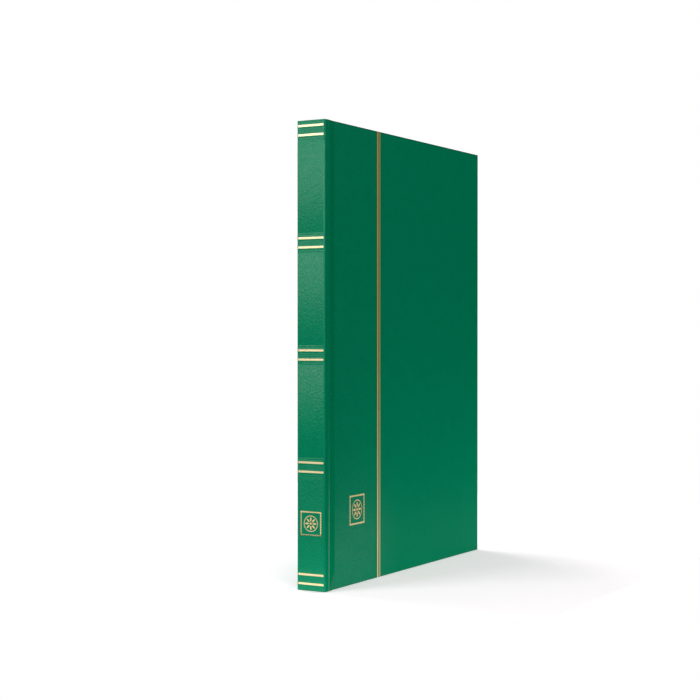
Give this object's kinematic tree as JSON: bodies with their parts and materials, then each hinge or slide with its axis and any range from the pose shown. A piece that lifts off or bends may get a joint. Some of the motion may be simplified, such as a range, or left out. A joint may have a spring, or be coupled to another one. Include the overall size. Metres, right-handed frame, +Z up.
{
  "type": "stamp album",
  "caption": "Upright hardback stamp album in green leatherette with gilt lines; its covers fold open at the joints and its pocket leaves fan with them.",
  "frame": {"origin": "on the floor under the middle of the closed album, which stands on its bottom edge", "axes": "+X from the spine to the fore-edge, the front cover faces -Y, +Z up"},
  "size_m": [0.23, 0.0206, 0.305],
  "materials": {
    "greyboard": "dense grey pasteboard",
    "covering": "deep green imitation leather, satin, very fine grain",
    "lining": "pale lining cloth",
    "endpaper": "off-white lining paper",
    "mull": "open-weave binding cloth",
    "band": "woven head band",
    "leaf_card": "white card",
    "strip": "translucent glazed strip",
    "linen": "white binding linen",
    "interleaf": "translucent glassine sheet",
    "gilt": "hot-pressed gold foil"
  },
  "bodies": {
    "spine": {"spine_board": "greyboard", "spine_cloth": "covering", "spine_mull": "mull", "head_band": "band", "tail_band": "band", "leaf_stubs": "linen", "interleaf_stubs": "interleaf", "spine_gilt_lines": "gilt", "spine_emblem": "gilt"},
    "front_joint": {"front_joint_cloth": "covering", "front_joint_lining": "lining"},
    "front_cover": {"front_board": "greyboard", "front_cloth": "covering", "front_pastedown": "endpaper", "front_gilt_lines": "gilt", "front_emblem": "gilt"},
    "back_joint": {"back_joint_cloth": "covering", "back_joint_lining": "lining"},
    "back_cover": {"back_board": "greyboard", "back_cloth": "covering", "back_pastedown": "endpaper"},
    "leaf_1": {"leaf_1_card": "leaf_card", "leaf_1_strips": "strip", "leaf_1_hinge": "linen"},
    "leaf_2": {"leaf_2_card": "leaf_card", "leaf_2_strips": "strip", "leaf_2_hinge": "linen"},
    "leaf_3": {"leaf_3_card": "leaf_card", "leaf_3_strips": "strip", "leaf_3_hinge": "linen"},
    "leaf_4": {"leaf_4_card": "leaf_card", "leaf_4_strips": "strip", "leaf_4_hinge": "linen"},
    "leaf_5": {"leaf_5_card": "leaf_card", "leaf_5_strips": "strip", "leaf_5_hinge": "linen"},
    "leaf_6": {"leaf_6_card": "leaf_card", "leaf_6_strips": "strip", "leaf_6_hinge": "linen"},
    "leaf_7": {"leaf_7_card": "leaf_card", "leaf_7_strips": "strip", "leaf_7_hinge": "linen"},
    "leaf_8": {"leaf_8_card": "leaf_card", "leaf_8_strips": "strip", "leaf_8_hinge": "linen"},
    "interleaf_1": {"interleaf_1": "interleaf"},
    "interleaf_2": {"interleaf_2": "interleaf"},
    "interleaf_3": {"interleaf_3": "interleaf"},
    "interleaf_4": {"interleaf_4": "interleaf"},
    "interleaf_5": {"interleaf_5": "interleaf"},
    "interleaf_6": {"interleaf_6": "interleaf"},
    "interleaf_7": {"interleaf_7": "interleaf"}
  },
  "joints": [
    {"name": "front_joint_fold", "type": "hinge", "parent": "spine", "child": "front_joint", "pos_m": [-0.112, -0.00905, 0.1525], "axis": [0, 0, -1], "range_deg": [0, 90]},
    {"name": "front_cover_fold", "type": "hinge", "parent": "front_joint", "child": "front_cover", "pos_m": [-0.1024, -0.00905, 0.1525], "axis": [0, 0, -1], "range_deg": [0, 90]},
    {"name": "back_joint_fold", "type": "hinge", "parent": "spine", "child": "back_joint", "pos_m": [-0.112, 0.00905, 0.1525], "axis": [0, 0, 1], "range_deg": [0, 90]},
    {"name": "back_cover_fold", "type": "hinge", "parent": "back_joint", "child": "back_cover", "pos_m": [-0.1024, 0.00905, 0.1525], "axis": [0, 0, 1], "range_deg": [0, 90]},
    {"name": "leaf_1_turn", "type": "hinge", "parent": "spine", "child": "leaf_1", "pos_m": [-0.104, -0.00613, 0.1525], "axis": [0, 0, -1], "range_deg": [0, 70]},
    {"name": "leaf_2_turn", "type": "hinge", "parent": "spine", "child": "leaf_2", "pos_m": [-0.1035, -0.00438, 0.1525], "axis": [0, 0, -1], "range_deg": [0, 50]},
    {"name": "leaf_3_turn", "type": "hinge", "parent": "spine", "child": "leaf_3", "pos_m": [-0.103, -0.00263, 0.1525], "axis": [0, 0, -1], "range_deg": [0, 30]},
    {"name": "leaf_4_turn", "type": "hinge", "parent": "spine", "child": "leaf_4", "pos_m": [-0.1025, -0.00088, 0.1525], "axis": [0, 0, -1], "range_deg": [0, 10]},
    {"name": "leaf_5_turn", "type": "hinge", "parent": "spine", "child": "leaf_5", "pos_m": [-0.1025, 0.00088, 0.1525], "axis": [0, 0, 1], "range_deg": [0, 10]},
    {"name": "leaf_6_turn", "type": "hinge", "parent": "spine", "child": "leaf_6", "pos_m": [-0.103, 0.00263, 0.1525], "axis": [0, 0, 1], "range_deg": [0, 30]},
    {"name": "leaf_7_turn", "type": "hinge", "parent": "spine", "child": "leaf_7", "pos_m": [-0.1035, 0.00438, 0.1525], "axis": [0, 0, 1], "range_deg": [0, 50]},
    {"name": "leaf_8_turn", "type": "hinge", "parent": "spine", "child": "leaf_8", "pos_m": [-0.104, 0.00613, 0.1525], "axis": [0, 0, 1], "range_deg": [0, 70]},
    {"name": "interleaf_1_turn", "type": "hinge", "parent": "spine", "child": "interleaf_1", "pos_m": [-0.10375, -0.00525, 0.1525], "axis": [0, 0, -1], "range_deg": [0, 60]},
    {"name": "interleaf_2_turn", "type": "hinge", "parent": "spine", "child": "interleaf_2", "pos_m": [-0.10325, -0.0035, 0.1525], "axis": [0, 0, -1], "range_deg": [0, 40]},
    {"name": "interleaf_3_turn", "type": "hinge", "parent": "spine", "child": "interleaf_3", "pos_m": [-0.10275, -0.00175, 0.1525], "axis": [0, 0, -1], "range_deg": [0, 20]},
    {"name": "interleaf_4_turn", "type": "hinge", "parent": "spine", "child": "interleaf_4", "pos_m": [-0.10225, 0, 0.1525], "axis": [0, 0, -1], "range_deg": [0, 5]},
    {"name": "interleaf_5_turn", "type": "hinge", "parent": "spine", "child": "interleaf_5", "pos_m": [-0.10275, 0.00175, 0.1525], "axis": [0, 0, 1], "range_deg": [0, 20]},
    {"name": "interleaf_6_turn", "type": "hinge", "parent": "spine", "child": "interleaf_6", "pos_m": [-0.10325, 0.0035, 0.1525], "axis": [0, 0, 1], "range_deg": [0, 40]},
    {"name": "interleaf_7_turn", "type": "hinge", "parent": "spine", "child": "interleaf_7", "pos_m": [-0.10375, 0.00525, 0.1525], "axis": [0, 0, 1], "range_deg": [0, 60]}
  ],
  "couplings": [
    {"joint": "leaf_1_turn", "follows": "front_joint_fold", "ratio": 0.77778},
    {"joint": "leaf_2_turn", "follows": "front_joint_fold", "ratio": 0.55556},
    {"joint": "leaf_3_turn", "follows": "front_joint_fold", "ratio": 0.33333},
    {"joint": "leaf_4_turn", "follows": "front_joint_fold", "ratio": 0.11111},
    {"joint": "leaf_5_turn", "follows": "back_joint_fold", "ratio": 0.11111},
    {"joint": "leaf_6_turn", "follows": "back_joint_fold", "ratio": 0.33333},
    {"joint": "leaf_7_turn", "follows": "back_joint_fold", "ratio": 0.55556},
    {"joint": "leaf_8_turn", "follows": "back_joint_fold", "ratio": 0.77778},
    {"joint": "interleaf_1_turn", "follows": "front_joint_fold", "ratio": 0.66667},
    {"joint": "interleaf_2_turn", "follows": "front_joint_fold", "ratio": 0.44444},
    {"joint": "interleaf_3_turn", "follows": "front_joint_fold", "ratio": 0.22222},
    {"joint": "interleaf_4_turn", "follows": "front_joint_fold", "ratio": 0.055556},
    {"joint": "interleaf_5_turn", "follows": "back_joint_fold", "ratio": 0.22222},
    {"joint": "interleaf_6_turn", "follows": "back_joint_fold", "ratio": 0.44444},
    {"joint": "interleaf_7_turn", "follows": "back_joint_fold", "ratio": 0.66667}
  ]
}
